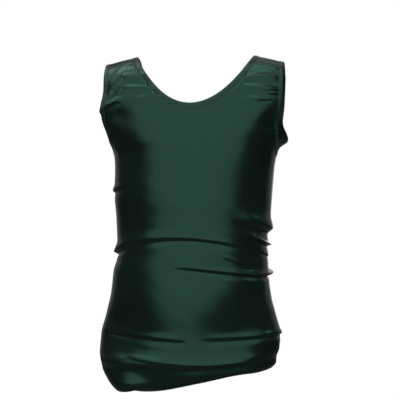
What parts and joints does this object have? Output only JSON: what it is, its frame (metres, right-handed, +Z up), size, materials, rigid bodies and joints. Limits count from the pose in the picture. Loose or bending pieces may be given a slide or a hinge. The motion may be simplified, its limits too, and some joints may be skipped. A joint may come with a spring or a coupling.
{
  "type": "dance romper",
  "caption": "Sleeveless stretch dance romper, worn form, hollow, with scoop neck, wide straps, banded armholes and brief-cut leg openings.",
  "frame": {"origin": "midway between the two shoulder straps, level with their undersides, where the wearer's shoulders carry the garment", "axes": "+Z up, the garment faces -Y, +X to the wearer's left"},
  "size_m": [0.2625, 0.1764, 0.4662],
  "materials": {
    "romper_cloth": "dark green satin stretch knit with a soft upright sheen",
    "band_cloth": "the same satin stretch knit, folded over narrow elastic"
  },
  "bodies": {
    "root": {"front_panel": "romper_cloth", "back_panel": "romper_cloth", "neck_band": "band_cloth", "armhole_band_right": "band_cloth", "armhole_band_left": "band_cloth", "leg_band_right": "band_cloth", "leg_band_left": "band_cloth"}
  },
  "joints": []
}
